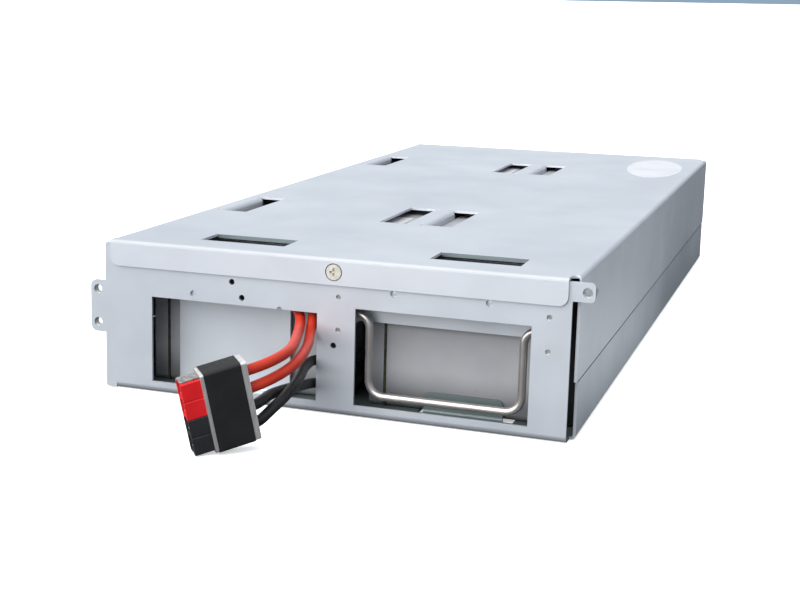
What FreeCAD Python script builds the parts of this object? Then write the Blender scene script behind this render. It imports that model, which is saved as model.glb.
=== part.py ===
import FreeCAD, Part
import math
import os

# UPS battery cartridge: a bent-sheet tray and cover round six sealed lead-acid
# batteries, with a swinging wire handle and four leads to a stacked connector.
# Millimetres. Origin: centre of the tray's underside. +Z up, -Y towards the
# handle end. "inset" is a distance behind the outer face of the front panel.

V = FreeCAD.Vector
X_AXIS = V(1, 0, 0)
Y_AXIS = V(0, 1, 0)
Z_AXIS = V(0, 0, 1)

# ---- sheet metal ----
sheet = 1.2
bend_outer = 2.0
panel_bend_outer = 3.0
tab_bend_outer = 2.6
lip_bend_outer = 1.5
seam_gap = 0.6
seam_height = 25.1
end_gap = 4.1
floor_start = 7.3
lip_height = 11.9
lip_corner = 4.0

# ---- batteries ----
battery_length = 151.0
battery_width = 65.0
battery_height = 94.0
battery_edge = 3.0
base_chamfer = 1.0
lid_height = 7.0
neck_height = 1.0
neck_inset = 0.6
battery_gap = 0.4
rows = 3
front_space = 18.8
rear_space = 6.2
left_gap = 12.2
centre_gap = 13.15
right_play = 0.25
head_room = 2.9
label_margin_x = 7.0
label_margin_y = 23.0
label_lid_gap = 1.0
label_thick = 0.15

# ---- terminals and wiring ----
blade_width = 6.35
blade_thick = 0.8
blade_height = 6.0
terminal_inset = 7.2
terminal_edge = 8.5
receptacle_width = 7.6
receptacle_thick = 2.6
receptacle_depth = 10.3
lid_clearance = 0.5
lead_offset = 8.5
barrel_length = 8.0
barrel_dia = 5.2
twin_pitch = 5.5
lead_dia = 4.5
strap_width = 5.0
fit = 0.05
rear_lane_gap = 0.85
link_run = 22.8
left_link_middle = 36.0
right_link_middle = 31.0

# ---- front panel ----
panel_offset = 2.65
ear_hole = 4.2
left_ear_width = 7.7
left_ear_z = (26.2, 50.6)
left_ear_corner = 2.9
left_ear_hole = (4.0, 30.7)
left_ear_spacing = 15.6
right_ear_width = 9.2
right_ear_bottom = 60.6
right_ear_corner = 2.0
right_ear_hole = (6.05, 64.6)
left_window = (-86.75, -5.95, 5.3, 45.1)
right_window = (11.65, 88.95, 5.4, 48.7)
vent_hole = 3.0
vent_holes = [(-65.85, 48.3), (28.85, 56.6), (70.75, 56.5)]
notch = (-23.75, 2.4)
screw_hole = 2.7
screw_holes = [(-46.85, 55.4), (-41.95, 48.6), (1.8, 31.3)]
blind_nut_dia = 5.4
blind_nut_thick = 3.4
blind_nut_bore = 2.9
ear_nut_dia = 7.5
ear_nut_bore = 3.3
nut_thick = 2.3

# ---- cover screws ----
screw_x = 1.8
screw_drop = 6.2
screw_head = 6.9
screw_dia = 3.5
screw_angle = 41.0
screw_length = 9.0
screw_recess = 1.4
nut_dia = 8.0

# ---- tabs cut from the top and the floor ----
side_slots = [(-100.85, -85.65, 1), (-12.55, 2.3, -1), (9.65, 24.9, 1)]
side_slot_length = 54.0
side_slot_before_row_end = 66.8
side_slot_after_row_start = 11.4
front_slots = [(-69.7, -28.5), (39.7, 79.8)]
front_slot_inset = 16.2
front_slot_depth = 17.4
tongue_drop = 1.7
tongue_slant = 1.6
tongue_gap = 0.6
tab_relief = 1.1
floor_slot = (36.0, 79.0)
floor_tab = (38.5, 74.3)
floor_slot_inset = 15.9
floor_slot_depth = 10.8
floor_tab_corner = 3.0

# ---- handle ----
handle_wire = 3.5
pivot_inset = 7.0
pivot_z = 45.0
leg_left = 16.1
leg_right = 84.5
bar_z = 8.75
corner_radius = 7.0
top_radius = 6.0
bracket_inner_left = 9.55
bracket_inner_right = 91.05
web_inset = 12.7
bracket_z = (40.6, 57.0)
pad_z = (34.4, 57.6)
pad_width = 10.0
pivot_tail = 1.8
pivot_clearance = 0.05
rivet_dia = 2.2
rivet_head = 4.4
rivet_head_thick = 1.0
rivet_recess = 0.9
rivets_left_x = 3.85
rivets_right_x = 96.2
rivet_z = (38.4, 53.0)

# ---- stop plate ----
stop_from_lid = 14.7
stop_width = 55.6
stop_inset = 14.8
stop_drop = 4.3
stop_foot = 9.0

# ---- oval label ----
oval_from_side = 26.6
oval_from_rear = 75.0
oval_half_width = 17.8
oval_half_length = 51.2
oval_turn = 5.0

# ---- connector ----
housing_width = 7.9
housing_length = 24.6
connector_x = -27.45
connector_inset = -76.4
connector_z = 0.05
connector_along = V(0.746, 0.625, 0.229)
connector_up = V(-0.111, -0.223, 0.968)
cavity_width = 5.7
cavity_height = 4.6
cavity_depth = 15.0
hood_cut = 3.6
key_width = 3.0
key_depth = 0.5
wire_entry = 3.0
exit_run = 3.5
sleeve_start = 8.2
sleeve_length = 19.4
sleeve_wall = 1.0
wrap_thick = 0.4
wrap_start = 1.4
wrap_end = 2.5
clip_thick = 0.9
contact_thick = 0.8
contact_width = 4.6

# ---- worked out from the sizes above ----
body_width = left_gap + right_play + centre_gap + 2 * battery_height + 2 * sheet
body_height = battery_width + head_room + 2 * sheet
body_depth = front_space + rows * battery_length + (rows - 1) * battery_gap + rear_space + sheet
half_width = body_width / 2
front = -body_depth / 2
rear = body_depth / 2
top_under = body_height - sheet
panel_top = top_under - (lip_bend_outer - sheet)
panel_left = -half_width - panel_offset
panel_right = half_width - panel_offset
lip_left = -half_width + 0.8
lip_right = half_width - 4.3
flange_bottom = seam_height + seam_gap
left_lid = -half_width + sheet + left_gap
right_lid = left_lid + battery_height + centre_gap
battery_floor = sheet
battery_top = sheet + battery_width
low_terminal = battery_floor + terminal_edge
high_terminal = battery_top - terminal_edge
first_side_slot = front_space + battery_length - side_slot_before_row_end
last_side_slot = front_space + (rows - 1) * (battery_length + battery_gap) + side_slot_after_row_start
left_lane = left_lid - lead_offset
right_lane = right_lid - lead_offset
lane_span = right_lane - left_lane
rear_lane = body_depth - sheet - lead_dia / 2 - rear_lane_gap


# ---- helpers ----
def box(x0, x1, y0, y1, z0, z1):
    """Box between two corners."""
    return Part.makeBox(x1 - x0, y1 - y0, z1 - z0, V(x0, y0, z0))


def rod(dia, length, start, axis):
    """Solid cylinder."""
    return Part.makeCylinder(dia / 2, length, start, axis)


def rounded_path(points, radii):
    """Edges along the points, each inner corner turned by a tangent arc."""
    edges = []
    last = points[0]
    for before, corner, after, radius in zip(points, points[1:], points[2:], radii):
        back = (before - corner).normalize()
        ahead = (after - corner).normalize()
        half = back.getAngle(ahead) / 2
        cut = radius / math.tan(half)
        middle = (back + ahead).normalize() * (radius / math.sin(half) - radius)
        start = corner + back * cut
        end = corner + ahead * cut
        edges.append(Part.LineSegment(last, start).toShape())
        edges.append(Part.Arc(start, corner + middle, end).toShape())
        last = end
    edges.append(Part.LineSegment(last, points[-1]).toShape())
    return edges


def outline(corners, place):
    """Face from (u, v, radius) corners; place turns (u, v) into a point."""
    points = [place(u, v) for u, v, radius in corners]
    count = len(points)
    edges = []
    ends = []
    for index in range(count):
        corner = points[index]
        radius = corners[index][2]
        if radius == 0:
            ends.append((corner, corner))
            continue
        back = (points[index - 1] - corner).normalize()
        ahead = (points[(index + 1) % count] - corner).normalize()
        half = back.getAngle(ahead) / 2
        cut = radius / math.tan(half)
        middle = corner + (back + ahead).normalize() * (radius / math.sin(half) - radius)
        ends.append((corner + back * cut, corner + ahead * cut))
        edges.append(Part.Arc(ends[-1][0], middle, ends[-1][1]).toShape())
    for index in range(count):
        start = ends[index][1]
        end = ends[(index + 1) % count][0]
        if start.distanceToPoint(end) > 1e-6:
            edges.append(Part.LineSegment(start, end).toShape())
    return Part.Face(Part.Wire(Part.__sortEdges__(edges)))


def prism_x(corners, x0, x1):
    """(y, z, radius) outline, extruded along X."""
    return outline(corners, lambda y, z: V(x0, y, z)).extrude(V(x1 - x0, 0, 0))


def prism_y(corners, y0, y1):
    """(x, z, radius) outline, extruded along Y."""
    return outline(corners, lambda x, z: V(x, y0, z)).extrude(V(0, y1 - y0, 0))


def prism_z(corners, z0, z1):
    """(x, y, radius) outline, extruded along Z."""
    return outline(corners, lambda x, y: V(x, y, z0)).extrude(V(0, 0, z1 - z0))


def sweep(edges, dia):
    """Round bar along a path of tangent edges."""
    path = Part.Wire(edges)
    start = edges[0].Vertexes[0].Point
    direction = edges[0].tangentAt(edges[0].FirstParameter)
    section = Part.Wire([Part.Circle(start, direction, dia / 2).toShape()])
    return path.makePipeShell([section], True, False)


def save(name, shape):
    """One named piece."""
    shape.exportStep("parts/" + name + ".step")


# ---- sheet metal ----
def bent_tab(edge, side, low, high, along, surface, turn):
    """Tab bent out of a sheet along the slot's edge.

    edge: where the bend starts; side: +1 if the slot lies on its plus side;
    low, high: ends of the bend line; along: flat length of the tab;
    surface: (convex face, direction of the bend); turn: 'x' or 'y', the
    direction across the bend line.
    """
    face, down = surface
    curve = math.pi / 2 * (tab_bend_outer - sheet / 2)
    reach = tab_bend_outer + along - curve
    inner = tab_bend_outer - sheet
    corners = [
        (edge, face, 0),
        (edge + side * tab_bend_outer, face, tab_bend_outer),
        (edge + side * tab_bend_outer, face + down * reach, 0),
        (edge + side * inner, face + down * reach, 0),
        (edge + side * inner, face + down * sheet, inner),
        (edge, face + down * sheet, 0),
    ]
    make = prism_y if turn == "x" else prism_x
    return make(corners, low, high)


def relief_holes(edge, ends, turn, z0, z1):
    """Round reliefs at both ends of a bend line."""
    holes = []
    for end in ends:
        spot = V(edge, end, z0) if turn == "x" else V(end, edge, z0)
        holes.append(rod(2 * tab_relief, z1 - z0, spot, Z_AXIS))
    return holes


def stepped_tongue(x0, x1, low, high):
    """Tongue stepped down from a slot's far edge, running back under the slot."""
    top = body_height - tongue_drop
    bend = sheet / 2
    corners = [
        (high + sheet, body_height, 0), (high, body_height, bend),
        (high - tongue_slant, top, bend), (low + tongue_gap, top, 0),
        (low + tongue_gap, top - sheet, 0), (high - tongue_slant + bend, top - sheet, bend),
        (high + bend, top_under, bend), (high + sheet, top_under, 0),
    ]
    return prism_x(corners, x0, x1)


def cover_slots():
    """Slots to cut from the top, and the tabs that fill them bent down."""
    cuts = []
    tabs = []
    under, over = top_under - 0.5, body_height + 0.5
    surface = (body_height, -1)
    for x0, x1, side in side_slots:
        edge = x0 if side > 0 else x1
        for inset in (first_side_slot, last_side_slot):
            low = front + inset
            high = low + side_slot_length
            cuts.append(box(x0, x1, low, high, under, over))
            cuts.extend(relief_holes(edge, (low + tab_relief, high - tab_relief), "x", under, over))
            tabs.append(bent_tab(edge, side, low + 2 * tab_relief, high - 2 * tab_relief,
                                 x1 - x0, surface, "x"))
    low = front + front_slot_inset
    high = low + front_slot_depth
    for x0, x1 in front_slots:
        cuts.append(box(x0, x1, low, high, under, over))
        cuts.extend(relief_holes(high, (x0 + tab_relief, x1 - tab_relief), "y", under, over))
        tabs.append(stepped_tongue(x0 + tongue_gap, x1 - tongue_gap, low, high))
    return cuts, tabs


def screw_cone(gap):
    """Countersunk head and shank of a cover screw, from y = 0 along +Y."""
    drop = (screw_head - screw_dia) / 2 / math.tan(math.radians(screw_angle))
    head = Part.makeCone(screw_head / 2 + gap, screw_dia / 2 + gap, drop, V(0, 0, 0), Y_AXIS)
    return head.fuse(rod(screw_dia + 2 * gap, screw_length, V(0, 0, 0), Y_AXIS))


def at_front(shape):
    """Place a screw-axis shape on the front lip."""
    placed = shape.copy()
    placed.translate(V(screw_x, front - sheet, body_height - screw_drop))
    return placed


def at_rear(shape):
    """The same, turned round onto the rear lip."""
    placed = shape.copy()
    placed.rotate(V(0, 0, 0), Z_AXIS, 180)
    placed.translate(V(screw_x, rear + sheet, body_height - screw_drop))
    return placed


def end_wall(facing, x0, x1):
    """Upright end wall of the tray with its bend and strip of floor."""
    outer = facing * rear
    inner = outer - facing * sheet
    foot = outer - facing * floor_start
    corners = [
        (outer, panel_top, 0),
        (outer, 0, panel_bend_outer),
        (foot, 0, 0),
        (foot, sheet, 0),
        (inner, sheet, panel_bend_outer - sheet),
        (inner, panel_top, 0),
    ]
    return prism_x(corners, x0, x1)


def ears():
    """Mounting ears, left and right, in the plane of the front panel."""
    outer = panel_left - left_ear_width
    low, high = left_ear_z
    radius = left_ear_corner
    left = prism_y([(outer, low, radius), (outer, high, radius), (panel_left, high, 0),
                    (panel_left, low, 0)], front, front + sheet)
    outer = panel_right + right_ear_width
    low = right_ear_bottom
    radius = right_ear_corner
    right = prism_y([(outer, low, radius), (outer, panel_top, radius), (panel_right, panel_top, 0),
                     (panel_right, low, 0)], front, front + sheet)
    return left.fuse(right)


def ear_points():
    """Centres of the three ear holes."""
    x = panel_left - left_ear_hole[0]
    z = left_ear_hole[1]
    right = (panel_right + right_ear_hole[0], right_ear_hole[1])
    return [(x, z), (x, z + left_ear_spacing), right]


def through_front(dia, x, z):
    """Cutter for a hole through the front panel."""
    return rod(dia, sheet + 1, V(x, front - 0.5, z), Y_AXIS)


def rivet_points():
    """Centres of the four handle rivets."""
    return [(x, z) for x in (rivets_left_x, rivets_right_x) for z in rivet_z]


def base_tray():
    """Floor, low side walls, front panel with ears and windows, rear wall."""
    inner = bend_outer - sheet
    w = half_width
    channel = prism_y([
        (-w, seam_height, 0), (-w, 0, bend_outer), (w, 0, bend_outer), (w, seam_height, 0),
        (w - sheet, seam_height, 0), (w - sheet, sheet, inner), (-w + sheet, sheet, inner),
        (-w + sheet, seam_height, 0),
    ], front + floor_start, rear - floor_start)
    bend_end = -w + bend_outer + inner
    front_wall = end_wall(-1, bend_end, panel_right)
    margin = prism_y([
        (panel_left, 0.4, 1.5), (panel_left, panel_top, 1.5), (bend_end, panel_top, 0),
        (bend_end, 0.4, 0),
    ], front, front + sheet)
    rear_wall = end_wall(1, -w + bend_outer, w - bend_outer)
    tray = channel.fuse([front_wall, margin, rear_wall, ears()])
    cuts = [box(x0, x1, front - 1, front + sheet + 1, z0, z1)
            for x0, x1, z0, z1 in (left_window, right_window)]
    cuts += [through_front(vent_hole, x, z) for x, z in vent_holes]
    cuts += [through_front(screw_hole, x, z) for x, z in screw_holes]
    cuts += [through_front(rivet_dia + 2 * fit, x, z) for x, z in rivet_points()]
    cuts += [through_front(ear_hole, x, z) for x, z in ear_points()]
    cuts.append(through_front(notch[1], notch[0], left_window[3]))
    cuts += [at_front(screw_cone(fit)), at_rear(screw_cone(fit))]
    slot_y = front + floor_slot_inset
    cuts.append(box(floor_slot[0], floor_slot[1], slot_y, slot_y + floor_slot_depth, -1, sheet + 1))
    tab = bent_tab(slot_y, 1, floor_tab[0], floor_tab[1], floor_slot_depth, (0, 1), "y")
    height = tab.BoundBox.ZMax
    tab = tab.common(prism_y([
        (floor_tab[0], 0, 0), (floor_tab[0], height, floor_tab_corner),
        (floor_tab[1], height, floor_tab_corner), (floor_tab[1], 0, 0),
    ], slot_y - sheet, slot_y + floor_slot_depth))
    return tray.cut(cuts).fuse(tab).removeSplitter()


def lip(facing):
    """End lip of the cover, with the strip of top that it is bent from."""
    outer = facing * (rear + sheet)
    inner = facing * rear
    foot = inner - facing * end_gap
    low = body_height - lip_height
    strip = prism_x([
        (foot, body_height, 0), (outer, body_height, lip_bend_outer), (outer, low, 0),
        (inner, low, 0), (inner, top_under, lip_bend_outer - sheet), (foot, top_under, 0),
    ], lip_left, lip_right)
    shape = prism_y([
        (lip_left, low, lip_corner), (lip_right, low, lip_corner),
        (lip_right, body_height + 1, 0), (lip_left, body_height + 1, 0),
    ], -rear - 2 * sheet, rear + 2 * sheet)
    return strip.common(shape)


def top_cover():
    """Top, side flanges, end lips, slots and their tabs."""
    w = half_width
    inner = bend_outer - sheet
    channel = prism_y([
        (-w, flange_bottom, 0), (-w, body_height, bend_outer), (w, body_height, bend_outer),
        (w, flange_bottom, 0), (w - sheet, flange_bottom, 0), (w - sheet, top_under, inner),
        (-w + sheet, top_under, inner), (-w + sheet, flange_bottom, 0),
    ], front + end_gap, rear - end_gap)
    cover = channel.fuse([lip(-1), lip(1)])
    cuts, tabs = cover_slots()
    arch = w - lip_right
    for y in (front + end_gap, rear - end_gap):
        cuts.append(rod(arch, 4 * sheet, V(w - arch / 2, y, top_under - sheet), Z_AXIS))
    cuts += [at_front(screw_cone(fit)), at_rear(screw_cone(fit))]
    return cover.cut(cuts).fuse(tabs).removeSplitter()


def screw():
    """Countersunk cover screw with a cross recess."""
    body = screw_cone(0)
    slot = screw_head * 0.55
    blade = sheet * 0.9
    for a, b in ((slot, blade), (blade, slot)):
        body = body.cut(box(-a / 2, a / 2, -1, screw_recess, -b / 2, b / 2))
    return body


def clinch_nut():
    """Round nut pressed behind a wall, under a cover screw."""
    ring = rod(nut_dia, nut_thick, V(0, 2 * sheet, 0), Y_AXIS)
    return ring.cut(screw_cone(fit))


def ear_nuts():
    """Clinch nuts behind the ear holes."""
    rings = []
    for x, z in ear_points():
        spot = V(x, front + sheet, z)
        ring = rod(ear_nut_dia, nut_thick, spot, Y_AXIS)
        rings.append(ring.cut(rod(ear_nut_bore, nut_thick, spot, Y_AXIS)))
    return Part.makeCompound(rings)


def panel_nuts():
    """Blind nuts pressed behind the small screw holes of the panel."""
    nuts = []
    for x, z in screw_holes:
        spot = V(x, front + sheet, z)
        nut = rod(blind_nut_dia, blind_nut_thick, spot, Y_AXIS)
        nuts.append(nut.cut(rod(screw_hole, blind_nut_bore, spot, Y_AXIS)))
    return Part.makeCompound(nuts)


def stop_bracket():
    """Upright plate in front of the left batteries, with a foot on the floor."""
    face = front + stop_inset
    inner = bend_outer - sheet
    stop_top = body_height - stop_drop
    x0 = left_lid + stop_from_lid
    return prism_x([
        (face + sheet, stop_top, 0), (face + sheet, sheet, bend_outer),
        (face + sheet - stop_foot, sheet, 0), (face + sheet - stop_foot, 2 * sheet, 0),
        (face, 2 * sheet, inner), (face, stop_top, 0),
    ], x0, x0 + stop_width)


def oval_label():
    """Bare oval label on the top."""
    ring = Part.Ellipse(V(0, 0, 0), oval_half_length, oval_half_width).toShape()
    label = Part.Face(Part.Wire([ring])).extrude(V(0, 0, label_thick))
    label.rotate(V(0, 0, 0), Z_AXIS, 90 + oval_turn)
    label.translate(V(half_width - oval_from_side, rear - oval_from_rear, body_height))
    return label


# ---- handle ----
def handle_bail():
    """Wire bail: bar, two legs, and ends turned outwards as pivots."""
    y = front + pivot_inset
    tail = sheet + pivot_tail
    points = [V(bracket_inner_left - tail, y, pivot_z), V(leg_left, y, pivot_z),
              V(leg_left, y, bar_z), V(leg_right, y, bar_z), V(leg_right, y, pivot_z),
              V(bracket_inner_right + tail, y, pivot_z)]
    radii = [top_radius, corner_radius, corner_radius, top_radius]
    return sweep(rounded_path(points, radii), handle_wire)


def handle_bracket():
    """Hat-section bracket behind the right window that carries the pivots."""
    back = front + sheet
    web = front + web_inset
    low, high = bracket_z
    left = bracket_inner_left
    right = bracket_inner_right
    inner = bend_outer - sheet
    pad_left = left - sheet - pad_width
    pad_right = right + sheet + pad_width
    hat = prism_z([
        (pad_left, back, 0), (left, back, bend_outer), (left, web, inner),
        (right, web, inner), (right, back, bend_outer), (pad_right, back, 0),
        (pad_right, back + sheet, 0), (right + sheet, back + sheet, inner),
        (right + sheet, web + sheet, bend_outer), (left - sheet, web + sheet, bend_outer),
        (left - sheet, back + sheet, inner), (pad_left, back + sheet, 0),
    ], low, high)
    pads = [box(pad_left, left - sheet, back, back + sheet, pad_z[0], pad_z[1]),
            box(right + sheet, pad_right, back, back + sheet, pad_z[0], pad_z[1])]
    bracket = hat.fuse(pads)
    pivot = rod(handle_wire + 2 * pivot_clearance, right - left + 4 * sheet,
                V(left - 2 * sheet, front + pivot_inset, pivot_z), X_AXIS)
    holes = [rod(rivet_dia + 2 * fit, 2 * sheet, V(x, back - 0.5, z), Y_AXIS)
             for x, z in rivet_points()]
    return bracket.cut([pivot] + holes).removeSplitter()


def handle_rivets():
    """Flush rivets through the panel and the bracket's pads."""
    rivets = []
    for x, z in rivet_points():
        length = 2 * sheet - rivet_recess
        shank = rod(rivet_dia, length, V(x, front + rivet_recess, z), Y_AXIS)
        head = rod(rivet_head, rivet_head_thick, V(x, front + 2 * sheet, z), Y_AXIS)
        rivets.append(shank.fuse(head).removeSplitter())
    return Part.makeCompound(rivets)


# ---- batteries ----
def block(x0, x1, y0, y1, z0, z1, radius):
    """Block with its edges along X rounded."""
    return prism_x([(y0, z0, radius), (y1, z0, radius), (y1, z1, radius), (y0, z1, radius)], x0, x1)


def battery_case(lid_x, y0, y1):
    """Case with its neck under the lid; the base points along +X."""
    neck = lid_x + lid_height
    start = neck + neck_height
    end = lid_x + battery_height
    z0, z1 = battery_floor, battery_top
    body = block(start, end, y0, y1, z0, z1, battery_edge)
    base = [edge for edge in body.Edges if min(v.X for v in edge.Vertexes) > end - fit]
    body = body.makeChamfer(base_chamfer, base)
    inset = neck_inset
    return body.fuse(block(neck, start, y0 + inset, y1 - inset, z0 + inset, z1 - inset,
                           battery_edge - inset))


def battery_lid(lid_x, y0, y1):
    """Lid of one battery."""
    return block(lid_x, lid_x + lid_height, y0, y1, battery_floor, battery_top, battery_edge)


def battery_terminals(lid_x, y):
    """Two blade terminals on the lid."""
    blades = []
    for z in (low_terminal, high_terminal):
        blades.append(box(lid_x - blade_height, lid_x, y - blade_width / 2, y + blade_width / 2,
                          z - blade_thick / 2, z + blade_thick / 2))
    return Part.makeCompound(blades)


def battery_label(lid_x, y0, y1):
    """Plain label on the upper side of the case."""
    x0 = lid_x + lid_height + neck_height + label_lid_gap
    x1 = lid_x + battery_height - label_margin_x
    return box(x0, x1, y0 + label_margin_y, y1 - label_margin_y, battery_top, battery_top + label_thick)


def battery_rows():
    """(row number, y of the near end, y of the far end, y of the terminals)."""
    result = []
    for row in range(rows):
        y0 = front + front_space + row * (battery_length + battery_gap)
        y1 = y0 + battery_length
        terminal = y1 - terminal_inset if row == 0 else y0 + terminal_inset
        result.append((row + 1, y0, y1, terminal))
    return result


# ---- wiring ----
def receptacle(lid_x, y, z, facing, twin):
    """Push-on receptacle with its crimp barrel, or a bare one for a strap.

    facing: -1 or 1, the way the barrel points along Y, or 0 for no barrel;
    twin: -1, 0 or 1, where a second barrel sits above or below.
    """
    x1 = lid_x - lid_clearance
    x0 = x1 - receptacle_depth
    half = receptacle_width / 2
    body = box(x0, x1, y - half, y + half, z - receptacle_thick / 2, z + receptacle_thick / 2)
    if facing:
        x = lid_x - lead_offset
        start = V(x, y + facing * half, z)
        body = body.fuse(rod(barrel_dia, barrel_length, start, Y_AXIS * facing))
        if twin:
            second = start + Z_AXIS * (twin * twin_pitch)
            web = box(x - 1, x + 1, y - half, y + half, min(z, second.z), max(z, second.z))
            link = box(x - 1, x + 1, min(start.y, start.y + facing * barrel_length),
                       max(start.y, start.y + facing * barrel_length),
                       min(z, second.z), max(z, second.z))
            body = body.fuse([rod(barrel_dia, barrel_length, second, Y_AXIS * facing), web, link])
    blade = box(lid_x - blade_height - fit, lid_x, y - blade_width / 2 - fit,
                y + blade_width / 2 + fit, z - blade_thick / 2, z + blade_thick / 2)
    return body.cut(blade).removeSplitter()


def strap(lid_x, y0, y1, z):
    """Flat link between two neighbouring receptacles."""
    half = receptacle_width / 2
    x = lid_x - lead_offset
    return box(x - strap_width / 2, x + strap_width / 2, y0 + half, y1 - half,
               z - blade_thick / 2, z + blade_thick / 2)


def lead_edges(points):
    """Path of a lead: runs joined by arcs as large as the runs allow."""
    radii = []
    for before, corner, after in zip(points, points[1:], points[2:]):
        shorter = min(before.distanceToPoint(corner), corner.distanceToPoint(after))
        turn = (corner - before).getAngle(after - corner)
        radii.append(0.45 * shorter / math.tan(turn / 2))
    return rounded_path(points, radii), radii


def lead(name, start, route, finish):
    """Insulated lead from a start, along (x, inset, z) points, to its last points."""
    points = [start] + [V(x, front + inset, z) for x, inset, z in route] + finish
    edges, radii = lead_edges(points)
    tube = sweep(edges, lead_dia)
    length = sum(edge.Length for edge in edges)
    share = tube.Volume / (math.pi * lead_dia ** 2 / 4 * length)
    print(name, "length %.1f" % length, "volume share %.4f" % share,
          "smallest radius %.1f" % min(radii), ["%.0f" % radius for radius in radii])
    save(name, tube)


# Leads between a terminal and the connector: (x, inset, z).
RED_LOWER = [
    (left_lane, 112.0, 52.2), (left_lane - 0.3, 66.0, 51.8), (left_lane - 0.1, 26.0, 52.0),
    (-88.5, 7.6, 52.2), (-63.0, 7.9, 51.9), (-43.0, 8.4, 51.4), (-31.5, 10.4, 49.6),
    (-22.4, 10.6, 46.2), (-16.0, 6.0, 42.4), (-12.6, -2.8, 39.4), (-8.8, -16.0, 38.0),
    (-5.0, -30.0, 37.2), (-3.6, -41.5, 36.8), (-6.4, -54.0, 35.4),
]
RED_UPPER = [
    (left_lane, 110.0, 57.7), (left_lane - 0.3, 64.0, 57.4), (left_lane - 0.5, 26.0, 57.6),
    (-88.2, 7.6, 57.8), (-64.0, 7.8, 57.5), (-41.0, 8.2, 57.0), (-25.5, 10.2, 55.8),
    (-15.6, 10.6, 50.9), (-9.9, 7.2, 43.6), (-8.9, -0.6, 36.2), (-4.8, -13.0, 34.0),
    (-2.1, -26.5, 32.8), (-1.3, -39.0, 31.2), (-4.6, -51.0, 28.8),
]
BLACK_LOWER = [
    (right_lane, 108.0, 9.7), (right_lane + 0.25, 66.0, 9.5), (right_lane + 1.15, 33.0, 9.7),
    (3.9, 19.0, 10.4), (-9.1, 5.5, 12.2), (-9.4, -8.5, 14.1), (-9.0, -22.5, 16.8),
    (-8.8, -34.0, 18.6), (-9.4, -45.0, 19.6), (-8.8, -53.0, 19.5),
]
BLACK_UPPER = [
    (right_lane, 106.0, 15.2), (right_lane - 0.25, 65.0, 17.0), (right_lane + 1.05, 33.0, 20.4),
    (3.9, 19.0, 21.8), (-9.1, 5.5, 23.0), (-8.2, -9.0, 22.9), (-4.8, -22.5, 21.8),
    (-3.5, -34.5, 20.1), (-4.5, -43.8, 17.3), (-6.8, -51.0, 14.3),
]


def side_link(start, end, lean, middle_z):
    """Route of a link that runs along the lane between two crimp barrels."""
    run = V(0, link_run, 0)
    middle = (start + end) / 2
    points = [start + run, V(start.x + lean, middle.y, middle_z), end - run]
    return [(point.x, point.y - front, point.z) for point in points]


def cross_link(start, end):
    """Route of the link round the far end, from the left lane to the right one."""
    x, span = left_lane, lane_span
    high, low = start.z, end.z
    drop = high - low
    tail = rear_lane - (start.y - front)
    return [
        (x, rear_lane - 0.67 * tail, high), (x + 0.2, rear_lane - 0.286 * tail, high - 0.056 * drop),
        (x, rear_lane, high - 0.098 * drop), (x + 0.253 * span, rear_lane, high - 0.14 * drop),
        (x + 0.72 * span, rear_lane, high - 0.348 * drop),
        (x + span + 4.6, rear_lane, high - 0.494 * drop),
        (x + span + 4.5, rear_lane - 0.205 * tail, high - 0.64 * drop),
        (x + span + 0.55, rear_lane - 0.56 * tail, low + 0.09 * drop),
        (x + span, rear_lane - 0.82 * tail, low),
    ]


def barrel_mouth(lid_x, y, z, facing):
    """Where a lead leaves the crimp barrel of a receptacle."""
    return V(lid_x - lead_offset, y + facing * (receptacle_width / 2 + barrel_length), z)


def wire_port(level, beyond):
    """Point on the axis of a housing's wire entry, beyond its rear face."""
    middle = housing_width / 2
    point = Part.Vertex(housing_length + beyond, middle, (level + 0.5) * housing_width)
    return to_connector(point).Point


def wiring():
    """Straps, links, leads and the receptacles on the blades."""
    terminals = [row[3] for row in battery_rows()]
    first, second, third = terminals
    low, high = low_terminal, high_terminal
    plan = [
        (left_lid, first, high, -1, -1), (left_lid, first, low, 0, 0),
        (left_lid, second, low, 0, 0), (left_lid, second, high, 1, 0),
        (left_lid, third, low, -1, 0), (left_lid, third, high, 1, 0),
        (right_lid, first, high, 0, 0), (right_lid, second, high, 0, 0),
        (right_lid, first, low, -1, 1), (right_lid, second, low, 1, 0),
        (right_lid, third, high, -1, 0), (right_lid, third, low, 1, 0),
    ]
    save("spade_receptacles", Part.makeCompound([receptacle(*entry) for entry in plan]))
    save("link_1_left_strap", strap(left_lid, first, second, low))
    save("link_2_right_strap", strap(right_lid, first, second, high))
    left_mouth = [barrel_mouth(left_lid, second, high, 1), barrel_mouth(left_lid, third, low, -1)]
    right_mouth = [barrel_mouth(right_lid, second, low, 1), barrel_mouth(right_lid, third, high, -1)]
    cross_mouth = [barrel_mouth(left_lid, third, high, 1), barrel_mouth(right_lid, third, low, 1)]
    lead("link_3_left", left_mouth[0], side_link(*left_mouth, 0.2, left_link_middle), [left_mouth[1]])
    lead("link_4_right", right_mouth[0], side_link(*right_mouth, -0.25, right_link_middle), [right_mouth[1]])
    lead("link_5_cross", cross_mouth[0], cross_link(*cross_mouth), [cross_mouth[1]])
    red = barrel_mouth(left_lid, first, high, -1)
    black = barrel_mouth(right_lid, first, low, -1)
    twin = Z_AXIS * twin_pitch
    plan = [("lead_black_2", black + twin, BLACK_UPPER), ("lead_black_1", black, BLACK_LOWER),
            ("lead_red_2", red, RED_UPPER), ("lead_red_1", red - twin, RED_LOWER)]
    for level, (name, start, route) in enumerate(plan):
        lead(name, start, route, [wire_port(level, exit_run), wire_port(level, -wire_entry)])


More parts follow.
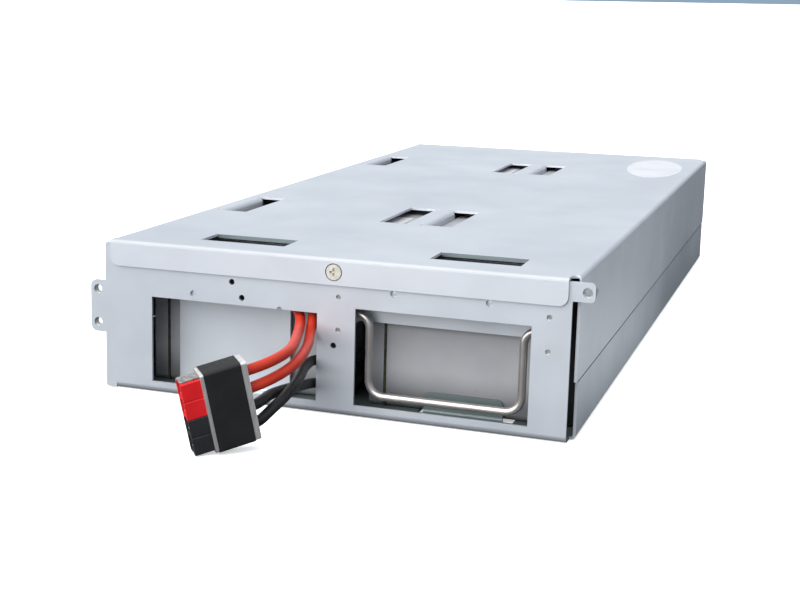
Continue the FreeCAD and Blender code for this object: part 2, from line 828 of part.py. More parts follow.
# ---- connector ----
def to_connector(shape):
    """From the connector's own axes (along, across, up) to its place."""
    across = connector_up.cross(connector_along).normalize()
    along = V(connector_along).normalize()
    up = along.cross(across)
    corner = V(connector_x, front + connector_inset, connector_z)
    matrix = FreeCAD.Matrix(along.x, across.x, up.x, corner.x,
                            along.y, across.y, up.y, corner.y,
                            along.z, across.z, up.z, corner.z, 0, 0, 0, 1)
    placed = shape.copy()
    placed.Placement = FreeCAD.Placement(matrix)
    return placed


def key(x0, x1, y, z, gap):
    """Dovetail key along a housing, standing up from height z."""
    top = key_width / 2 + gap
    foot = top - key_depth
    corners = [(y - foot, z, 0), (y - top, z + key_depth + gap, 0),
               (y + top, z + key_depth + gap, 0), (y + foot, z, 0)]
    return prism_x(corners, x0, x1)


def housing(level):
    """One housing of the stack: hooded mating end, keys and a wire entry."""
    w = housing_width
    z = level * w
    middle = w / 2
    body = prism_x([(0, z, 0.5), (w, z, 0.5), (w, z + w, 0.5), (0, z + w, 0.5)], 0, housing_length)
    wall = (w - cavity_width) / 2
    cavity = box(-1, cavity_depth, wall, w - wall, z + middle - cavity_height / 2,
                 z + middle + cavity_height / 2)
    hood = box(-1, hood_cut, wall, w - wall, z + middle, z + w + 1)
    entry = rod(lead_dia + 4 * fit, wire_entry, V(housing_length - wire_entry, middle, z + middle), X_AXIS)
    groove = key(-1, housing_length + 1, middle, z, fit)
    body = body.cut([cavity, hood, entry, groove])
    if level < 3:
        body = body.fuse(key(hood_cut + 1, housing_length, middle, z + w, 0))
    return body.removeSplitter()


def contact(level):
    """Silver-plated tongue with its bent nose, lying in the housing's cavity."""
    floor = level * housing_width + housing_width / 2 - cavity_height / 2
    nose = 2.4
    rise = 1.4
    y0 = (housing_width - contact_width) / 2
    profile = [(1.2, floor, 0), (nose, floor + rise, 0), (nose + 1.6, floor + rise, 0.6),
               (nose + 3.6, floor, 0), (cavity_depth, floor, 0),
               (cavity_depth, floor + contact_thick, 0), (nose + 4.2, floor + contact_thick, 0),
               (nose + 2.0, floor + rise + contact_thick, 0.6),
               (nose - 0.4, floor + rise + contact_thick, 0), (0.6, floor + contact_thick, 0)]
    face = outline(profile, lambda x, z: V(x, y0, z))
    return face.extrude(V(0, contact_width, 0))


def ring(x0, x1, y0, y1, z0, z1, wall, radius):
    """Rectangular tube along X with rounded corners; the sizes are inside ones."""
    outer = block(x0, x1, y0 - wall, y1 + wall, z0 - wall, z1 + wall, radius + wall)
    if radius == 0:
        return outer.cut(box(x0, x1, y0, y1, z0, z1))
    return outer.cut(block(x0, x1, y0, y1, z0, z1, radius))


def connector():
    """Stack of four housings in a metal sleeve with a wrap and a retaining plate."""
    names = ["black_1", "black_2", "red_1", "red_2"]
    w = housing_width
    stack = 4 * w
    for level, name in enumerate(names):
        save("housing_" + name, to_connector(housing(level)))
        save("contact_" + name, to_connector(contact(level)))
    start, end = sleeve_start, sleeve_start + sleeve_length
    clip = box(start - 1.5, end - 3, 1, w - 1, stack, stack + clip_thick)
    wall = sleeve_wall
    save("connector_clip", to_connector(clip))
    save("connector_sleeve", to_connector(ring(start, end, 0, w, 0, stack + clip_thick, wall, 0)))
    save("connector_wrap", to_connector(ring(start + wrap_start, end - wrap_end, -wall, w + wall, -wall,
                                             stack + clip_thick + wall, wrap_thick, wall)))


def main():
    """Build every piece and write its file."""
    os.makedirs("parts", exist_ok=True)
    save("base_tray", base_tray())
    save("top_cover", top_cover())
    save("cover_screw_front", at_front(screw()))
    save("cover_screw_rear", at_rear(screw()))
    save("clinch_nut_front", at_front(clinch_nut()))
    save("clinch_nut_rear", at_rear(clinch_nut()))
    save("ear_nuts", ear_nuts())
    save("panel_nuts", panel_nuts())
    save("handle_bail", handle_bail())
    save("handle_bracket", handle_bracket())
    save("handle_rivets", handle_rivets())
    save("stop_plate", stop_bracket())
    save("oval_label", oval_label())
    for side, lid_x in (("left", left_lid), ("right", right_lid)):
        for row, y0, y1, terminal in battery_rows():
            name = "battery_%s_%d_" % (side, row)
            save(name + "case", battery_case(lid_x, y0, y1))
            save(name + "lid", battery_lid(lid_x, y0, y1))
            save(name + "terminals", battery_terminals(lid_x, terminal))
            save(name + "label", battery_label(lid_x, y0, y1))
    wiring()
    connector()


main()
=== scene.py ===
import bpy
import math
from mathutils import Matrix, Quaternion, Vector


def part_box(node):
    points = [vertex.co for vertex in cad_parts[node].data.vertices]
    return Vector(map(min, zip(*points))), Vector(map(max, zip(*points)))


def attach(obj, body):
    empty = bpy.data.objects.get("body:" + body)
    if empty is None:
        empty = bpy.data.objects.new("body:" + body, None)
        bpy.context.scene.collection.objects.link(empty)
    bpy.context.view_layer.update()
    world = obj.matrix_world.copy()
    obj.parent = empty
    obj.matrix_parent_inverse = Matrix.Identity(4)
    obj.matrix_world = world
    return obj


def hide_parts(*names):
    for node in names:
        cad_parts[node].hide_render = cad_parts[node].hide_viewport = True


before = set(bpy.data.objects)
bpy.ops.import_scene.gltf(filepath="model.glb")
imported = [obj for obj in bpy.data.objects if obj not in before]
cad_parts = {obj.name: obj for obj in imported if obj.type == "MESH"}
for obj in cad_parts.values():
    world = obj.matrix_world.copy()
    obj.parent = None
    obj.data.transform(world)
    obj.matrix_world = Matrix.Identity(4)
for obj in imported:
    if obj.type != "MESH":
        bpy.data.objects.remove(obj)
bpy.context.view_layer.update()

# ---- Camera ----
# A short telephoto look at the handle end from the right, a little above the cover. The
# shift stays small, so that the part is inside the frame from every other side too.
eye = Vector((0.2099, -0.8069, 0.1819))
yaw = math.radians(-20.76)
pitch = math.radians(10.57)
roll = math.radians(0.96)
look = Vector((math.sin(yaw) * math.cos(pitch),
               math.cos(yaw) * math.cos(pitch),
               -math.sin(pitch)))
bpy.ops.object.camera_add(location=eye)
camera = bpy.context.object
camera.name = "camera"
camera.rotation_mode = "QUATERNION"
camera.rotation_quaternion = look.to_track_quat("-Z", "Y") @ Quaternion((0, 0, 1), roll)
camera.data.sensor_width = 36
camera.data.lens = 64.05
camera.data.shift_x = 0.1
camera.data.shift_y = -0.05
bpy.context.scene.camera = camera

# ---- Power leads ----
# Two red and two black stranded leads in soft PVC run from the end terminals of the
# battery chain, round the front of the tray and out of the left window to the plug.
panel_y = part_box("base_tray")[0].y
lead_across = 0.0045


def mm(x, inset, z):
    """Point given in millimetres, with its depth behind the front panel."""
    return Vector((x / 1000, panel_y + inset / 1000, z / 1000))


def shader(material):
    """Principled shader of a fresh material."""
    return material.node_tree.nodes["Principled BSDF"]


def fix(material, socket, value):
    """Set a constant on the material's principled shader."""
    shader(material).inputs[socket].default_value = value


def add_node(material, kind, **values):
    """New shader node with its properties and sockets set."""
    node = material.node_tree.nodes.new(kind)
    for name, value in values.items():
        if hasattr(node, name):
            setattr(node, name, value)
        else:
            node.inputs[name.replace("_", " ")].default_value = value
    return node


def wire_up(material, out_node, out_socket, in_node, in_socket):
    """Link two shader nodes."""
    material.node_tree.links.new(out_node.outputs[out_socket], in_node.inputs[in_socket])


def grain(material, scale, detail=3.0, stretch=(1, 1, 1), roughness=0.5):
    """Noise on object coordinates, stretched along an axis if asked."""
    place = add_node(material, "ShaderNodeTexCoord")
    mapping = add_node(material, "ShaderNodeMapping", Scale=stretch)
    noise = add_node(material, "ShaderNodeTexNoise",
                     Scale=scale, Detail=detail, Roughness=roughness)
    wire_up(material, place, "Object", mapping, "Vector")
    wire_up(material, mapping, "Vector", noise, "Vector")
    return noise


def set_ramp(ramp, low, high, start, stop):
    """Give a colour ramp its two tones and their places."""
    for element, tone, place in zip(ramp.color_ramp.elements, (low, high), (start, stop)):
        element.position = place
        element.color = (*tone, 1)


def shades(material, noise, low, high, start=0.35, stop=0.65):
    """Base colour between two tones, driven by noise."""
    ramp = add_node(material, "ShaderNodeValToRGB")
    set_ramp(ramp, low, high, start, stop)
    wire_up(material, noise, "Fac", ramp, "Fac")
    wire_up(material, ramp, "Color", shader(material), "Base Color")
    return ramp


def gloss_range(material, noise, low, high):
    """Roughness between two values, driven by noise."""
    spread = add_node(material, "ShaderNodeMapRange", To_Min=low, To_Max=high)
    wire_up(material, noise, "Fac", spread, "Value")
    wire_up(material, spread, "Result", shader(material), "Roughness")


def relief(material, noise, strength, depth):
    """Bump from noise, depth in metres."""
    bump = add_node(material, "ShaderNodeBump", Strength=strength, Distance=depth)
    wire_up(material, noise, "Fac", bump, "Height")
    wire_up(material, bump, "Normal", shader(material), "Normal")


def new_finish(name):
    """Empty material with its principled shader."""
    material = bpy.data.materials.new(name)
    material.use_nodes = True
    return material


def pvc_sheath(name, dark, light, gloss):
    """Soft PVC: faint mottling, satin, with a fine skin."""
    sheath = new_finish(name)
    shades(sheath, grain(sheath, 90), dark, light)
    gloss_range(sheath, grain(sheath, 500), gloss - 0.06, gloss + 0.1)
    relief(sheath, grain(sheath, 1500), 0.2, 0.00006)
    fix(sheath, "Specular IOR Level", 0.32)
    return sheath


red_sheath = pvc_sheath("red_sheath", (0.47, 0.026, 0.010), (0.56, 0.036, 0.014), 0.42)
black_sheath = pvc_sheath("black_sheath", (0.007, 0.007, 0.008), (0.013, 0.013, 0.014), 0.46)

lead_routes = {
    "lead_red_1": (red_sheath, "red", 0.300, [
        (-103.1, 150.8, 52.2), (-103.1, 112.0, 52.2), (-103.4, 66.0, 51.8), (-103.2, 26.0, 52.0),
        (-88.5, 7.6, 52.2), (-63.0, 7.9, 51.9), (-43.0, 8.4, 51.4), (-31.5, 10.4, 49.6),
        (-22.4, 10.6, 46.2), (-16.0, 6.0, 42.4), (-12.6, -2.8, 39.4), (-8.8, -16.0, 38.0),
        (-5.0, -30.0, 37.2), (-3.6, -41.5, 36.8), (-6.4, -54.0, 35.4), (-12.14, -62.04, 33.65),
        (-16.99, -66.10, 32.16)]),
    "lead_red_2": (red_sheath, "red", 0.310, [
        (-103.1, 150.8, 57.7), (-103.1, 110.0, 57.7), (-103.4, 64.0, 57.4), (-103.6, 26.0, 57.6),
        (-88.2, 7.6, 57.8), (-64.0, 7.8, 57.5), (-41.0, 8.2, 57.0), (-25.5, 10.2, 55.8),
        (-15.6, 10.6, 50.9), (-9.9, 7.2, 43.6), (-8.9, -0.6, 36.2), (-4.8, -13.0, 34.0),
        (-2.1, -26.5, 32.8), (-1.3, -39.0, 31.2), (-4.6, -51.0, 28.8), (-11.26, -60.28, 26.00),
        (-16.11, -64.34, 24.51)]),
    "lead_black_1": (black_sheath, "black", 0.221, [
        (4.05, 150.8, 9.7), (4.05, 108.0, 9.7), (4.3, 66.0, 9.5), (5.2, 33.0, 9.7),
        (3.9, 19.0, 10.4), (-9.1, 5.5, 12.2), (-9.4, -8.5, 14.1), (-9.0, -22.5, 16.8),
        (-8.8, -34.0, 18.6), (-9.4, -45.0, 19.6), (-8.8, -53.0, 19.5), (-10.39, -58.52, 18.35),
        (-15.24, -62.58, 16.86)]),
    "lead_black_2": (black_sheath, "black", 0.222, [
        (4.05, 150.8, 15.2), (4.05, 106.0, 15.2), (3.8, 65.0, 17.0), (5.1, 33.0, 20.4),
        (3.9, 19.0, 21.8), (-9.1, 5.5, 23.0), (-8.2, -9.0, 22.9), (-4.8, -22.5, 21.8),
        (-3.5, -34.5, 20.1), (-4.5, -43.8, 17.3), (-6.8, -51.0, 14.3), (-9.51, -56.76, 10.70),
        (-14.36, -60.82, 9.21)]),
}


def merged_copy(node_name, name):
    """Closed copy of a CAD piece with its flat faces joined, left selected and active."""
    merge_gap, flat_angle = 0.000002, math.radians(0.5)
    piece = bpy.data.objects.new(name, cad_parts[node_name].data.copy())
    bpy.context.scene.collection.objects.link(piece)
    bpy.ops.object.select_all(action="DESELECT")
    bpy.context.view_layer.objects.active = piece
    piece.select_set(True)
    bpy.ops.object.mode_set(mode="EDIT")
    bpy.ops.mesh.select_all(action="SELECT")
    bpy.ops.mesh.remove_doubles(threshold=merge_gap)
    bpy.ops.mesh.dissolve_limited(angle_limit=flat_angle)
    bpy.ops.object.mode_set(mode="OBJECT")
    return piece


def round_edges(piece, width, corner=30, smooth=30):
    """Round the corners sharper than an angle in degrees, and shade the rest smooth."""
    edge = piece.modifiers.new("edge", "BEVEL")
    edge.width = width
    edge.segments = 2
    edge.angle_limit = math.radians(corner)
    bpy.ops.object.modifier_apply(modifier=edge.name)
    bpy.ops.object.shade_smooth_by_angle(angle=math.radians(smooth))


# A small metal plate lies on the top housing, under the sleeve, and reaches the stack's
# face.
plate = merged_copy("connector_clip", "connector_plate")
plate_back, plate_front = mm(-13.35, -67.51, 37.26), mm(-26.7, -78.7, 33.16)
plate_end, plate_longer = -0.025, 0.0066
plate_reach = (plate_front - plate_back).normalized() * plate_longer
for corner in plate.data.vertices:
    if corner.co.x < plate_end:
        corner.co += plate_reach
round_edges(plate, 0.00012)
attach(plate, "cartridge")
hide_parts("connector_clip")

for node_name, (sheath, colour, long, route) in lead_routes.items():
    curve = bpy.data.curves.new(node_name + "_line", "CURVE")
    curve.dimensions = "3D"
    spline = curve.splines.new("NURBS")
    spline.points.add(len(route) - 1)
    for point, place in zip(spline.points, route):
        point.co = (*mm(*place), 1)
    spline.order_u = 3
    spline.use_endpoint_u = True
    spline.resolution_u = 12
    curve.bevel_depth = lead_across / 2
    curve.bevel_resolution = 6
    curve.use_fill_caps = True
    curve.materials.append(sheath)
    lead = bpy.data.objects.new(node_name + "_cord", curve)
    bpy.context.scene.collection.objects.link(lead)
    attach(lead, "cartridge")
    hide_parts(node_name)

# ---- Sheet-steel tray and cover ----
# Zinc-plated steel, 1.2 mm, punched and bent: a smooth cold grey with faint cloudy
# patches from the bath and fine rolling lines along the sheet.


def subtract(piece, tool):
    """Cut one closed mesh out of another and remove the tool."""
    bpy.context.view_layer.objects.active = piece
    cut = piece.modifiers.new("cut", "BOOLEAN")
    cut.operation = "DIFFERENCE"
    cut.solver = "EXACT"
    cut.object = tool
    bpy.ops.object.modifier_apply(modifier=cut.name)
    bpy.data.objects.remove(tool)


def cut_away(piece, low, high):
    """Cut a box-shaped opening out of a closed mesh."""
    bpy.ops.object.select_all(action="DESELECT")
    bpy.ops.mesh.primitive_cube_add(size=1, location=(low + high) / 2, scale=high - low)
    subtract(piece, bpy.context.object)


def cut_seat(piece, centre, radius, deep):
    """Cut a round seat into a face that looks to the front."""
    bpy.ops.object.select_all(action="DESELECT")
    bpy.ops.mesh.primitive_cylinder_add(vertices=40, radius=radius, depth=2 * deep,
                                        location=centre, rotation=(math.radians(90), 0, 0))
    subtract(piece, bpy.context.object)


def softened(node_name, openings, seats):
    """Copy of a CAD piece with its openings cut and its sheared edges slightly rounded."""
    sheared_edge, sharp = 0.00018, math.radians(30)
    piece = merged_copy(node_name, node_name + "_dressed")
    for low, high in openings:
        cut_away(piece, low, high)
    for centre, radius, deep in seats:
        cut_seat(piece, centre, radius, deep)
    bpy.ops.object.select_all(action="DESELECT")
    piece.select_set(True)
    bpy.context.view_layer.objects.active = piece
    bpy.ops.object.shade_smooth_by_angle(angle=sharp)
    bevel = piece.modifiers.new("edge", "BEVEL")
    bevel.width = sheared_edge
    bevel.segments = 2
    bevel.angle_limit = sharp
    bpy.ops.object.modifier_apply(modifier=bevel.name)
    bpy.ops.object.shade_smooth()
    weighted = piece.modifiers.new("flat_faces", "WEIGHTED_NORMAL")
    weighted.mode = "FACE_AREA"
    weighted.weight = 100
    bpy.ops.object.modifier_apply(modifier=weighted.name)
    piece.select_set(False)
    return piece


def zinc_plate(name, dark, light, rough, metallic=0.55):
    """Plated sheet: cloudy patches, fine rolling lines and a satin sheen."""
    zinc = new_finish(name)
    shades(zinc, grain(zinc, 16, 4.0, roughness=0.55), dark, light, 0.3, 0.7)
    gloss_range(zinc, grain(zinc, 45, 4.0), rough - 0.07, rough + 0.07)
    relief(zinc, grain(zinc, 1100, 2.0, (1, 0.25, 1)), 0.12, 0.00005)
    fix(zinc, "Metallic", metallic)
    return zinc


zinc_tray = zinc_plate("zinc_tray", (0.50, 0.53, 0.575), (0.60, 0.63, 0.675), 0.40)
zinc_cover = zinc_plate("zinc_cover", (0.55, 0.57, 0.615), (0.63, 0.65, 0.695), 0.45)
# Painted shade: a darker copy of the plated zinc, for faces that lie in shadow.
zinc_painted_shade = zinc_plate("zinc_painted_shade", (0.15, 0.185, 0.19), (0.20, 0.235, 0.24), 0.42)
# A darker, rougher copy for the lip's bend: painted shade that damps its highlight.
zinc_bend_shade = zinc_plate("zinc_bend_shade", (0.42, 0.43, 0.45), (0.48, 0.49, 0.51), 0.60, 0.15)


def finish_node(node_name, material):
    """Give a CAD piece its material, all over."""
    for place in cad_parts[node_name].material_slots:
        place.material = material


def dress(node_name, *finishes, openings=(), seats=()):
    """Stand a softened copy in for a CAD piece, all over in the first finish."""
    piece = softened(node_name, openings, seats)
    piece.data.materials.clear()
    for finish in finishes:
        piece.data.materials.append(finish)
    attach(piece, "cartridge")
    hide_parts(node_name)
    return piece


cover_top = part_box("top_cover")[1].z * 1000
slot_near, slot_far = 16.2, 33.6
front_slots = {"left": (-69.7, -28.5), "right": (39.7, 79.8)}
slot_play = 0.01
slot_openings = [(mm(x0 - slot_play, slot_near - slot_play, cover_top - 6),
                  mm(x1 + slot_play, slot_far + slot_play, cover_top + 1))
                 for x0, x1 in front_slots.values()]
screw_low, screw_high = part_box("cover_screw_front")
screw_face = (screw_low + screw_high) / 2
screw_face.y = screw_low.y
seat_radius, seat_deep = 0.0039, 0.0007
cover = dress("top_cover", zinc_cover, zinc_painted_shade, zinc_bend_shade,
              openings=slot_openings, seats=[(screw_face, seat_radius, seat_deep)])
tray = dress("base_tray", zinc_tray, zinc_painted_shade)

# The screw's seat and the far edges of the front slots get the painted shade, and the bend
# of the lip gets its darker, rougher copy: painted shade that damps the bend's highlight.
shade_place, bend_place = 1, 2
seat_reach, seat_first, seat_last = 0.00395, 0.0002, 0.0009
slot_back, slot_slack = mm(0, slot_far, 0).y, 0.0003
bend_deep, bend_slope = 0.004, 0.12
for face in cover.data.polygons:
    from_screw = face.center - screw_face
    aside = Vector((from_screw.x, from_screw.z)).length
    in_seat = aside < seat_reach and seat_first < from_screw.y < seat_last
    slot_edge = abs(face.center.y - slot_back) < slot_slack and face.normal.y < -0.5
    slopes = face.normal.y < -bend_slope and face.normal.z > bend_slope
    lip_bend = slopes and from_screw.y < bend_deep
    if in_seat or slot_edge:
        face.material_index = shade_place
    elif lip_bend:
        face.material_index = bend_place

# The tray's inside faces and the top edges of its low side walls get the painted shade too.
inside_half, inside_high = 0.1066, 0.06
inside_first, inside_last = 0.0014, 0.45
wall_top, wall_slack = 0.0251, 0.0004
for face in tray.data.polygons:
    middle = face.center
    if inside_first < middle.y - panel_y < inside_last:
        inner = abs(middle.x) < inside_half and middle.z < inside_high and face.normal.z > -0.5
        top_edge = abs(middle.z - wall_top) < wall_slack and face.normal.z > 0.5
        if inner or top_edge:
            face.material_index = shade_place

# ---- Panel dimples ----
# Three half-sheared locating dimples in the front panel. A punch has pushed each slug of
# the panel's own steel back until it barely holds.
dimple_radius, dimple_deep, dimple_rim = 0.00155, 0.0010, 0.00012


def copied(piece, name, shift):
    """Copy of a finished piece with a mesh of its own, moved by a vector."""
    twin = bpy.data.objects.new(name, piece.data.copy())
    twin.data.transform(Matrix.Translation(shift))
    bpy.context.scene.collection.objects.link(twin)
    return twin


dimple_places = [mm(-65.85, 1.6, 48.3), mm(28.85, 1.6, 56.6), mm(70.75, 1.6, 56.5)]
bpy.ops.object.select_all(action="DESELECT")
bpy.ops.mesh.primitive_cylinder_add(vertices=32, radius=dimple_radius, depth=dimple_deep,
                                    location=dimple_places[0],
                                    rotation=(math.radians(90), 0, 0))
first_dimple = bpy.context.object
first_dimple.name = "panel_dimple_1"
bpy.ops.object.transform_apply(location=True, rotation=True)
round_edges(first_dimple, dimple_rim)
first_dimple.data.materials.append(zinc_tray)
dimples = [first_dimple]
for count, place in enumerate(dimple_places[1:], 2):
    shift = place - dimple_places[0]
    dimples.append(copied(first_dimple, "panel_dimple_%d" % count, shift))
for dimple in dimples:
    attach(dimple, "cartridge")

# ---- Panel tongues ----
# Two tongues bent back from the top of the front panel. They run under the cover and
# show in its two front slots, short of the slots' far and left edges.
tongue_thick, tongue_run = 1.2, 26.2
tongue_low, bend_middle = 67.2, 1.7
left_gap, right_gap = 2.4, 0.6
for side, (x0, x1) in front_slots.items():
    left, right = x0 + left_gap, x1 - right_gap
    bpy.ops.object.select_all(action="DESELECT")
    bpy.ops.mesh.primitive_plane_add(
        size=1, location=mm((left + right) / 2, tongue_thick / 2, tongue_low))
    tongue = bpy.context.object
    tongue.name = "panel_tongue_" + side
    tongue.scale = ((right - left) / 1000, tongue_thick / 1000, 1)
    bpy.ops.object.transform_apply(location=True, scale=True)
    bpy.ops.object.mode_set(mode="EDIT")
    bpy.ops.mesh.select_all(action="SELECT")
    bpy.ops.mesh.spin(steps=5, angle=math.radians(-90), axis=(1, 0, 0),
                      center=mm(0, bend_middle, tongue_low))
    bpy.ops.mesh.extrude_region_move(
        TRANSFORM_OT_translate={"value": (0, tongue_run / 1000, 0)})
    bpy.ops.mesh.select_all(action="SELECT")
    bpy.ops.mesh.remove_doubles(threshold=0.000001)
    bpy.ops.mesh.normals_make_consistent(inside=False)
    bpy.ops.object.mode_set(mode="OBJECT")
    round_edges(tongue, 0.0002, corner=40)
    tongue.data.materials.append(zinc_cover)
    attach(tongue, "cartridge")

# ---- Stop plate and handle bracket ----
# Plain zinc-plated steel pressings: the stop plate stands behind the left window, and the
# bracket behind the right one is riveted to the panel and carries the handle's ends.
zinc_inner = zinc_plate("zinc_inner", (0.56, 0.59, 0.63), (0.66, 0.69, 0.73), 0.38)
for node_name in ("stop_plate", "handle_bracket"):
    dress(node_name, zinc_inner)

# ---- Wire handle ----
# Steel wire bent to a bail and nickel plated, bright, with fine drawing marks. Its ends are
# bent in and turn in the bracket's holes.
nickel = new_finish("bright_nickel")
shades(nickel, grain(nickel, 60), (0.43, 0.395, 0.375), (0.53, 0.49, 0.47))
gloss_range(nickel, grain(nickel, 400, 2.0, (0.1, 1, 1)), 0.28, 0.34)
relief(nickel, grain(nickel, 2500, 2.0, (0.1, 1, 1)), 0.04, 0.00002)
fix(nickel, "Metallic", 0.82)
finish_node("handle_bail", nickel)

# ---- Screws, rivets and clinch nuts ----
# Bright zinc-plated steel; the cover screws are countersunk with a cross recess. The blind
# nuts behind the panel's small screw holes are near black, painted shade for their deep bores.
bright_zinc = new_finish("bright_zinc")
shades(bright_zinc, grain(bright_zinc, 300), (0.50, 0.49, 0.46), (0.66, 0.65, 0.62))
gloss_range(bright_zinc, grain(bright_zinc, 900), 0.22, 0.4)
fix(bright_zinc, "Metallic", 0.9)
for node_name in ("clinch_nut_front", "clinch_nut_rear", "ear_nuts", "handle_rivets"):
    finish_node(node_name, bright_zinc)

# Near black: painted shade for the deep threaded bores behind the panel's screw holes.
dark_bore_shade = new_finish("dark_bore_shade")
shades(dark_bore_shade, grain(dark_bore_shade, 300), (0.030, 0.030, 0.033), (0.060, 0.060, 0.064))
gloss_range(dark_bore_shade, grain(dark_bore_shade, 900), 0.35, 0.5)
finish_node("panel_nuts", dark_bore_shade)

screw_plate = new_finish("screw_plate")
shades(screw_plate, grain(screw_plate, 500), (0.66, 0.62, 0.54), (0.80, 0.76, 0.68))
gloss_range(screw_plate, grain(screw_plate, 1200), 0.28, 0.45)
fix(screw_plate, "Metallic", 0.6)
for node_name in ("cover_screw_front", "cover_screw_rear"):
    finish_node(node_name, screw_plate)

# ---- Batteries ----
# Six sealed lead-acid blocks in grey moulded ABS, with plain white labels and tin-plated
# blades. They stand on the tray's floor in two rows of three.


def smooth_change(material, node, socket, span, values):
    """Go softly from one value to another while a socket crosses a span."""
    change = add_node(material, "ShaderNodeMapRange", interpolation_type="SMOOTHSTEP",
                      From_Min=span[0], From_Max=span[1], To_Min=values[0], To_Max=values[1])
    wire_up(material, node, socket, change, "Value")
    return change


grey_abs = new_finish("grey_abs")
case_tones = shades(grey_abs, grain(grey_abs, 30), (0.33, 0.33, 0.345), (0.38, 0.38, 0.395))
gloss_range(grey_abs, grain(grey_abs, 400), 0.24, 0.36)
relief(grey_abs, grain(grey_abs, 2200), 0.15, 0.00004)

# Painted shade: the cases darken near the tray's floor and go nearly black along its right wall.
case_place = add_node(grey_abs, "ShaderNodeTexCoord")
case_axes = add_node(grey_abs, "ShaderNodeSeparateXYZ")
painted_case_shade = add_node(grey_abs, "ShaderNodeMath", operation="MULTIPLY")
case_shade = add_node(grey_abs, "ShaderNodeVectorMath", operation="SCALE")
floor_shade = smooth_change(grey_abs, case_axes, "Z", (0.004, 0.021), (0.38, 1.0))
wall_shade = smooth_change(grey_abs, case_axes, "X", (0.0985, 0.1010), (1.0, 0.04))
wire_up(grey_abs, case_place, "Object", case_axes, 0)
wire_up(grey_abs, floor_shade, "Result", painted_case_shade, 0)
wire_up(grey_abs, wall_shade, "Result", painted_case_shade, 1)
wire_up(grey_abs, case_tones, "Color", case_shade, 0)
wire_up(grey_abs, painted_case_shade, 0, case_shade, "Scale")
wire_up(grey_abs, case_shade, 0, shader(grey_abs), "Base Color")

label_stock = new_finish("label_stock")
shades(label_stock, grain(label_stock, 50), (0.56, 0.56, 0.59), (0.62, 0.62, 0.65))
gloss_range(label_stock, grain(label_stock, 700), 0.35, 0.5)

tinned = new_finish("tinned")
shades(tinned, grain(tinned, 300), (0.55, 0.55, 0.53), (0.72, 0.72, 0.70))
gloss_range(tinned, grain(tinned, 900), 0.25, 0.45)
fix(tinned, "Metallic", 0.9)

batteries = ["battery_%s_%d_" % (side, row)
             for side in ("left", "right") for row in (1, 2, 3)]
for start in batteries:
    finish_node(start + "case", grey_abs)
    finish_node(start + "lid", grey_abs)
    finish_node(start + "label", label_stock)
    finish_node(start + "terminals", tinned)
finish_node("oval_label", label_stock)

# A dark bead of sealing resin shows where each lid is bonded to its case.
seal_resin = new_finish("seal_resin")
shades(seal_resin, grain(seal_resin, 400), (0.020, 0.019, 0.008), (0.048, 0.045, 0.020))
gloss_range(seal_resin, grain(seal_resin, 900), 0.3, 0.5)
bead, proud, bead_round = 0.00055, 0.00008, 0.0002
case_corners = [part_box(start + "case") for start in batteries]
low, high = case_corners[0]
bpy.ops.object.select_all(action="DESELECT")
bpy.ops.mesh.primitive_cube_add(
    size=1, location=(low.x, (low.y + high.y) / 2, (low.z + high.z) / 2),
    scale=(2 * bead, high.y - low.y + 2 * proud, high.z - low.z))
first_seal = bpy.context.object
first_seal.name = batteries[0] + "seal"
bpy.ops.object.transform_apply(location=True, scale=True)
bpy.ops.object.mode_set(mode="EDIT")
bpy.ops.mesh.select_all(action="SELECT")
bpy.ops.mesh.subdivide(number_cuts=3)
bpy.ops.object.mode_set(mode="OBJECT")
round_edges(first_seal, bead_round, smooth=40)
first_seal.data.materials.append(seal_resin)
seals = [first_seal]
for start, corners in zip(batteries[1:], case_corners[1:]):
    seals.append(copied(first_seal, start + "seal", corners[0] - low))
for seal in seals:
    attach(seal, "cartridge")

# ---- Links between the batteries ----
# Black insulated links and tinned straps on push-on receptacles join the six batteries
# into one chain inside the tray.
for node_name in ("link_3_left", "link_4_right", "link_5_cross"):
    finish_node(node_name, black_sheath)
for node_name in ("link_1_left_strap", "link_2_right_strap", "spade_receptacles"):
    finish_node(node_name, tinned)

# ---- Plug ----
# Four single-pole moulded housings keyed into a stack, two red and two black, held by
# a thin metal sleeve with a black wrap and a small plate under the sleeve's top.


def moulded(name, dark, light, gloss):
    """Moulded polycarbonate: even colour with a fine eroded skin."""
    plastic = new_finish(name)
    shades(plastic, grain(plastic, 120), dark, light)
    gloss_range(plastic, grain(plastic, 900), gloss - 0.06, gloss + 0.08)
    relief(plastic, grain(plastic, 3000), 0.2, 0.00005)
    return plastic


red_moulding = moulded("red_moulding", (0.70, 0.008, 0.012), (0.80, 0.014, 0.020), 0.30)
black_moulding = moulded("black_moulding", (0.014, 0.015, 0.017), (0.024, 0.025, 0.029), 0.34)
for level in (1, 2):
    finish_node("housing_red_%d" % level, red_moulding)
    finish_node("housing_black_%d" % level, black_moulding)
    finish_node("contact_red_%d" % level, tinned)
    finish_node("contact_black_%d" % level, tinned)

sleeve_metal = new_finish("sleeve_metal")
shades(sleeve_metal, grain(sleeve_metal, 900, 2.0, (1, 1, 0.08)),
       (0.62, 0.60, 0.59), (0.78, 0.76, 0.75))
gloss_range(sleeve_metal, grain(sleeve_metal, 300), 0.3, 0.45)
fix(sleeve_metal, "Metallic", 0.7)
finish_node("connector_sleeve", sleeve_metal)

plate_metal = new_finish("plate_metal")
shades(plate_metal, grain(plate_metal, 700, 3.0, (1, 1, 0.3)),
       (0.20, 0.18, 0.17), (0.42, 0.40, 0.38))
gloss_range(plate_metal, grain(plate_metal, 300), 0.35, 0.5)
fix(plate_metal, "Metallic", 0.7)
plate.data.materials.clear()
plate.data.materials.append(plate_metal)

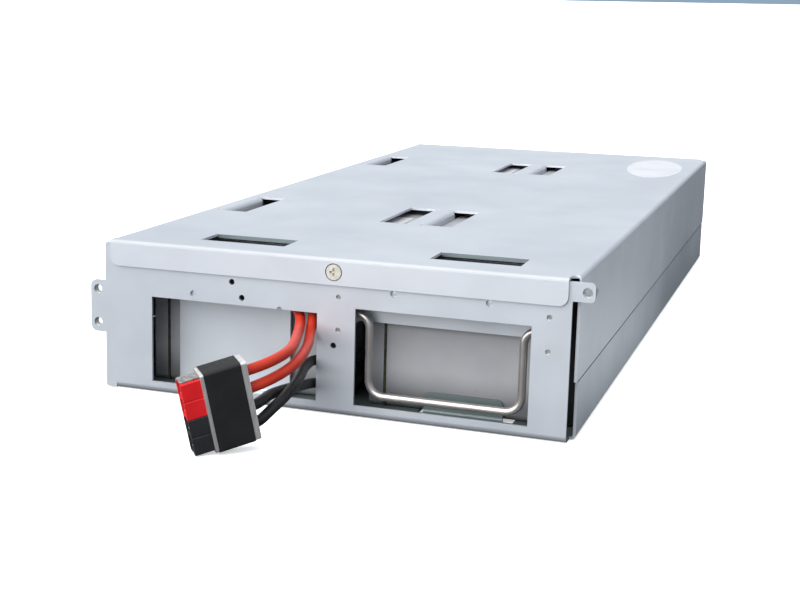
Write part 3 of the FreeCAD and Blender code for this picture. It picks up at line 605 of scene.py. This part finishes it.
wrap_tape = new_finish("wrap_tape")
shades(wrap_tape, grain(wrap_tape, 80), (0.0085, 0.0085, 0.009), (0.014, 0.014, 0.015))
gloss_range(wrap_tape, grain(wrap_tape, 500), 0.5, 0.7)
relief(wrap_tape, grain(wrap_tape, 1800), 0.3, 0.00006)
fix(wrap_tape, "Specular IOR Level", 0.35)
finish_node("connector_wrap", wrap_tape)

# ---- Table and light ----
# A table that glows a little, so that it is white right up to the part. The light that it
# throws back is dimmer, and strongest beside the part's right wall. A broad key comes from
# the front left, and the sky goes from a dim blue at the horizon to white overhead.
bpy.ops.object.select_all(action="DESELECT")
bpy.ops.mesh.primitive_plane_add(size=240, location=(0, 0, -0.0002))
table = bpy.context.object
table.name = "table"
white_card = new_finish("white_card")
shades(white_card, grain(white_card, 3), (0.93, 0.93, 0.93), (0.95, 0.95, 0.95))
fix(white_card, "Roughness", 0.75)
fix(white_card, "Specular IOR Level", 0.2)
fix(white_card, "Emission Color", (1, 1, 1, 1))
fix(white_card, "Emission Strength", 0.45)
brightest = (0.28, -0.09, 0)
card_place = add_node(white_card, "ShaderNodeTexCoord")
card_reach = add_node(white_card, "ShaderNodeVectorMath", operation="DISTANCE")
card_reach.inputs[1].default_value = brightest
card_fade = smooth_change(white_card, card_reach, "Value", (0.05, 0.26), (0.80, 0.12))
dim_card = add_node(white_card, "ShaderNodeBsdfDiffuse")
ray_kind = add_node(white_card, "ShaderNodeLightPath")
card_mix = add_node(white_card, "ShaderNodeMixShader")
wire_up(white_card, card_place, "Object", card_reach, 0)
wire_up(white_card, card_fade, "Result", dim_card, "Color")
wire_up(white_card, ray_kind, "Is Camera Ray", card_mix, 0)
wire_up(white_card, dim_card, 0, card_mix, 1)
wire_up(white_card, shader(white_card), 0, card_mix, 2)
wire_up(white_card, card_mix, 0, white_card.node_tree.nodes["Material Output"], "Surface")
table.data.materials.append(white_card)

bpy.ops.object.light_add(type="SUN", location=(-0.5, -0.6, 1.0))
key_light = bpy.context.object
key_light.name = "key_light"
key_light.data.energy = 4.6
key_light.data.angle = math.radians(84)
key_light.rotation_mode = "QUATERNION"
key_light.rotation_quaternion = Vector((0.43, 0.72, -0.54)).to_track_quat("-Z", "Y")

sky = bpy.context.scene.world or bpy.data.worlds.new("studio")
bpy.context.scene.world = sky
sky.use_nodes = True
background = sky.node_tree.nodes["Background"]
background.inputs["Strength"].default_value = 1.0
heading = add_node(sky, "ShaderNodeTexCoord")
height = add_node(sky, "ShaderNodeSeparateXYZ")
sky_tones = add_node(sky, "ShaderNodeValToRGB")
set_ramp(sky_tones, (0.28, 0.385, 0.50), (0.98, 1.0, 1.0), 0.0, 0.85)
wire_up(sky, heading, "Generated", height, 0)
wire_up(sky, height, "Z", sky_tones, "Fac")
wire_up(sky, sky_tones, "Color", background, "Color")
bpy.context.scene.view_settings.view_transform = "Standard"
